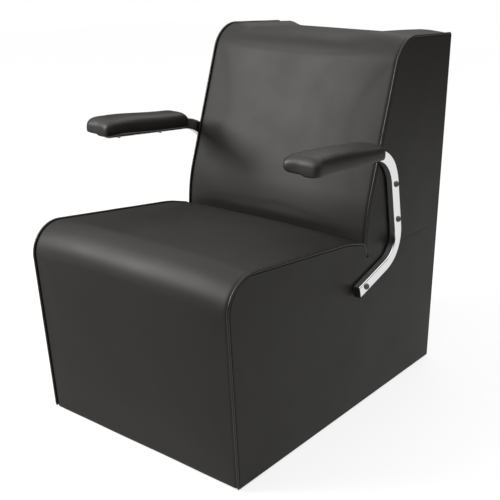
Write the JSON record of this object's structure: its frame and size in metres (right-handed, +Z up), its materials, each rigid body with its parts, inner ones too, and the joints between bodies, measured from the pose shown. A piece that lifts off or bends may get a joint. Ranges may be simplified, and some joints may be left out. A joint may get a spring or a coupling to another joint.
{
  "type": "salon dryer chair",
  "caption": "Upholstered box chair with a low reclined back, made to stand under a hair dryer; padded arms on bent chrome tube brackets bolted to its sides.",
  "frame": {"origin": "middle of the footprint's box, on the floor", "axes": "+X to the sitter's left, +Y to the rear, +Z up"},
  "size_m": [0.737, 0.9608, 0.9587],
  "materials": {
    "vinyl": "charcoal upholstery vinyl with a fine grain, half matte",
    "vinyl_piping": "self-coloured vinyl piping",
    "arm_pad_vinyl": "charcoal vinyl over foam, half matte",
    "foam": "cream polyurethane foam",
    "plywood": "plain birch plywood, unfinished",
    "dust_cloth": "black non-woven dust cloth",
    "black_plastic": "black moulded plastic",
    "chrome": "bright chrome plate on steel tube",
    "bolt_chrome": "bright chrome plate on button-head screws",
    "zinc_steel": "zinc-plated steel"
  },
  "bodies": {
    "root": {"base_side_board_left": "plywood", "base_side_board_right": "plywood", "base_front_board": "plywood", "base_rear_board": "plywood", "corner_posts": "plywood", "seat_deck": "plywood", "rear_deck": "plywood", "seat_rear_rail": "plywood", "dust_cover": "dust_cloth", "glides": "black_plastic", "seat_foam": "foam", "seat_cover": "vinyl", "base_side_cover_left": "vinyl", "base_side_cover_right": "vinyl", "base_rear_cover": "vinyl", "seat_welt_left": "vinyl_piping", "seat_welt_right": "vinyl_piping", "back_side_board_left": "plywood", "back_side_board_right": "plywood", "back_panel": "plywood", "back_top_rail": "plywood", "back_rear_board": "plywood", "back_bottom_board": "plywood", "dryer_mount_board": "plywood", "dryer_mount_tee_nuts": "zinc_steel", "back_foam": "foam", "back_cover": "vinyl", "back_side_cover_left": "vinyl", "back_side_cover_right": "vinyl", "back_rear_cover": "vinyl", "back_welt_left": "vinyl_piping", "back_welt_right": "vinyl_piping", "back_bolts": "zinc_steel", "back_nuts": "zinc_steel", "arm_bracket_left": "chrome", "arm_bracket_right": "chrome", "bracket_plug_left": "black_plastic", "bracket_plug_right": "black_plastic", "arm_bolts": "bolt_chrome", "arm_washers": "black_plastic", "arm_tee_nuts": "zinc_steel", "arm_pad_left": "arm_pad_vinyl", "arm_pad_right": "arm_pad_vinyl", "arm_pad_plate_left": "zinc_steel", "arm_pad_plate_right": "zinc_steel", "arm_pad_screws": "bolt_chrome"}
  },
  "joints": []
}
